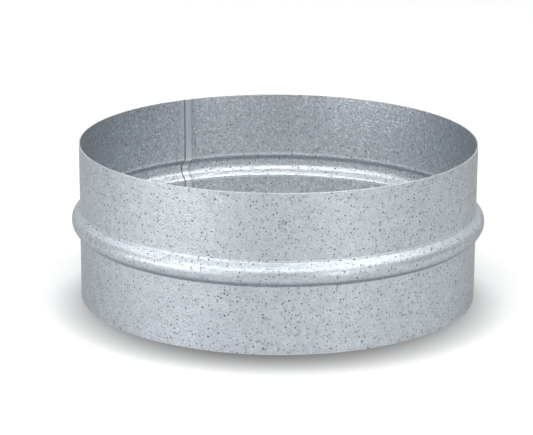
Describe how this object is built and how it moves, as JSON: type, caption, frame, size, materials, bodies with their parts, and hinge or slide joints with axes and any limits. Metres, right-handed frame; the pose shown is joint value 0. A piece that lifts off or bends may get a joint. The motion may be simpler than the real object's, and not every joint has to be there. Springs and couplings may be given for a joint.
{
  "type": "duct connector",
  "caption": "Plain galvanised sheet-steel ring with a rolled stop bead round its middle, for joining round air ducts end to end.",
  "frame": {"origin": "centre of the lower rim, on the ring's axis, where the ring stands", "axes": "+Z along the ring's axis, up; -Y towards the viewer, so the welded lap is at the back left"},
  "size_m": [0.2074, 0.2074, 0.0784],
  "materials": {
    "galvanised_sheet": "zinc-coated sheet steel, finely speckled, half matt"
  },
  "bodies": {
    "root": {"connector_ring": "galvanised_sheet"}
  },
  "joints": []
}
